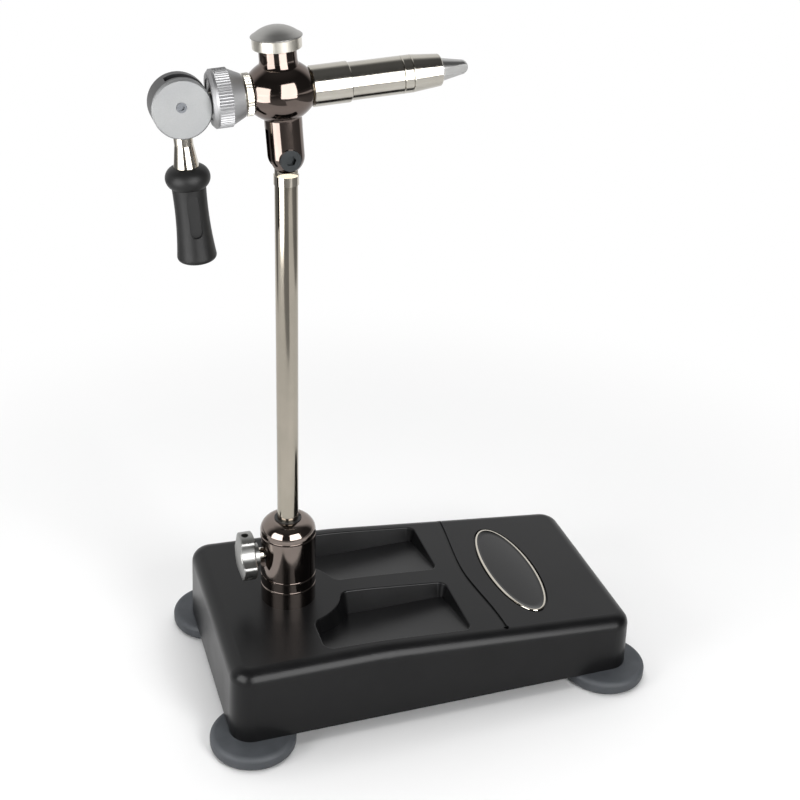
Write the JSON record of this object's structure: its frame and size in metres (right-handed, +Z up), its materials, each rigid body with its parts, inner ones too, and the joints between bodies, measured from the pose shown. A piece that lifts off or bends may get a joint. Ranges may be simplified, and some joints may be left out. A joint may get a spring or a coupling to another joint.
{
  "type": "fly tying vise",
  "caption": "Pedestal fly tying vise: weighted base with trays, upright stem, tilting ball head, turning barrel and cam lever that draws jaws shut on a hook.",
  "frame": {"origin": "centre of the whole footprint box, on the table under the feet", "axes": "+X along the base towards the jaws, +Y away from the front, +Z up"},
  "size_m": [0.2288, 0.1402, 0.3213],
  "materials": {
    "satin_paint": "satin black paint",
    "zinc_sheet": "zinc plated sheet",
    "badge": "domed resin, bare",
    "foot_rubber": "slate grey moulded rubber",
    "grip_rubber": "black moulded rubber",
    "black_nickel": "polished black nickel",
    "polished_steel": "polished nickel",
    "jaw_steel": "ground tool steel",
    "dark_steel": "blackened steel",
    "satin_aluminium": "bead blasted, clear anodised",
    "grey_aluminium": "satin grey anodised",
    "black_acetal": "machined",
    "brass": "turned"
  },
  "bodies": {
    "base": {"base_casting": "satin_paint", "bottom_plate": "zinc_sheet", "badge_plate": "badge", "foot_front_left": "foot_rubber", "foot_front_right": "foot_rubber", "foot_rear_left": "foot_rubber", "foot_rear_right": "foot_rubber", "foot_screws": "dark_steel", "turret": "black_nickel", "turret_bolt": "dark_steel", "turret_washer": "zinc_sheet"},
    "swivel": {"stem_bush": "black_acetal"},
    "post": {"stem": "polished_steel", "stem_collar": "polished_steel"},
    "clamp_tip": {"thumb_pad": "brass"},
    "clamp_knob": {"thumb_knob": "satin_aluminium", "thumb_screw": "polished_steel"},
    "head": {"head_ball": "black_nickel", "pivot_screw": "dark_steel", "pivot_washers": "black_acetal", "front_bush": "brass", "rear_bush": "brass"},
    "brake_tip": {"tension_pad": "black_acetal"},
    "brake_knob": {"tension_knob": "polished_steel", "tension_screw": "polished_steel"},
    "rotor": {"spindle": "polished_steel", "barrel_ring": "polished_steel", "nose_cone": "polished_steel", "retaining_ring": "polished_steel", "return_spring": "dark_steel"},
    "carrier": {"thrust_sleeve": "dark_steel"},
    "adjuster": {"adjuster_nut": "grey_aluminium"},
    "draw": {"drawbar": "polished_steel", "jaw_pins": "dark_steel", "cam_pin": "dark_steel"},
    "lever": {"cam_drum": "black_acetal", "cam_face_disc": "satin_aluminium", "lever_stalk": "polished_steel", "lever_grip": "grip_rubber"},
    "near_jaw": {"jaw_near": "jaw_steel"},
    "far_jaw": {"jaw_far": "jaw_steel"}
  },
  "joints": [
    {"name": "stem_swivel", "type": "hinge", "parent": "base", "child": "swivel", "pos_m": [-0.05901, 0, 0.062], "axis": [0, 0, 1], "continuous": true},
    {"name": "stem_height", "type": "slide", "parent": "swivel", "child": "post", "axis": [0, 0, 1], "range_m": [0, 0.018]},
    {"name": "thumb_travel", "type": "slide", "parent": "base", "child": "clamp_tip", "axis": [-1, 0, 0], "range_m": [0, 0.0008]},
    {"name": "thumb_turn", "type": "hinge", "parent": "clamp_tip", "child": "clamp_knob", "pos_m": [-0.05901, 0, 0.071], "axis": [-1, 0, 0], "range_deg": [0, 360]},
    {"name": "head_tilt", "type": "hinge", "parent": "post", "child": "head", "pos_m": [-0.05901, 0, 0.2677], "axis": [0, 1, 0], "range_deg": [-25, 40]},
    {"name": "tension_travel", "type": "slide", "parent": "head", "child": "brake_tip", "axis": [-0.0767, 0, 0.9971], "range_m": [0, 0.0008]},
    {"name": "tension_turn", "type": "hinge", "parent": "brake_tip", "child": "brake_knob", "pos_m": [-0.06111, 0, 0.29497], "axis": [-0.0767, 0, 0.9971], "range_deg": [0, 360]},
    {"name": "jaw_rotation", "type": "hinge", "parent": "head", "child": "rotor", "pos_m": [-0.06111, 0, 0.29497], "axis": [0.9971, 0, 0.0767], "continuous": true},
    {"name": "adjuster_travel", "type": "slide", "parent": "rotor", "child": "carrier", "axis": [0.9971, 0, 0.0767], "range_m": [0, 0.00075]},
    {"name": "adjuster_turn", "type": "hinge", "parent": "carrier", "child": "adjuster", "pos_m": [-0.06111, 0, 0.29497], "axis": [0.9971, 0, 0.0767], "range_deg": [0, 270]},
    {"name": "jaw_draw", "type": "slide", "parent": "carrier", "child": "draw", "axis": [0.9971, 0, 0.0767], "range_m": [0, 0.00136], "deforming": ["return_spring"]},
    {"name": "cam_lever", "type": "hinge", "parent": "draw", "child": "lever", "pos_m": [-0.10263, 0, 0.29177], "axis": [0, 1, 0], "range_deg": [0, 90]},
    {"name": "near_jaw_open", "type": "hinge", "parent": "draw", "child": "near_jaw", "pos_m": [-0.01046, -0.0023, 0.29887], "axis": [-0.0767, 0, 0.9971], "range_deg": [-1.4, 0]},
    {"name": "far_jaw_open", "type": "hinge", "parent": "draw", "child": "far_jaw", "pos_m": [-0.01046, 0.0023, 0.29887], "axis": [-0.0767, 0, 0.9971], "range_deg": [0, 1.4]}
  ],
  "couplings": [
    {"joint": "thumb_turn", "follows": "thumb_travel", "rad_per_m": 7853.2},
    {"joint": "tension_turn", "follows": "tension_travel", "rad_per_m": 7853.2},
    {"joint": "adjuster_turn", "follows": "adjuster_travel", "rad_per_m": 6282.6},
    {"joint": "jaw_draw", "follows": "cam_lever", "m_per_rad": 0.00086484},
    {"joint": "near_jaw_open", "follows": "cam_lever", "ratio": -0.015554},
    {"joint": "far_jaw_open", "follows": "cam_lever", "ratio": 0.015554}
  ]
}
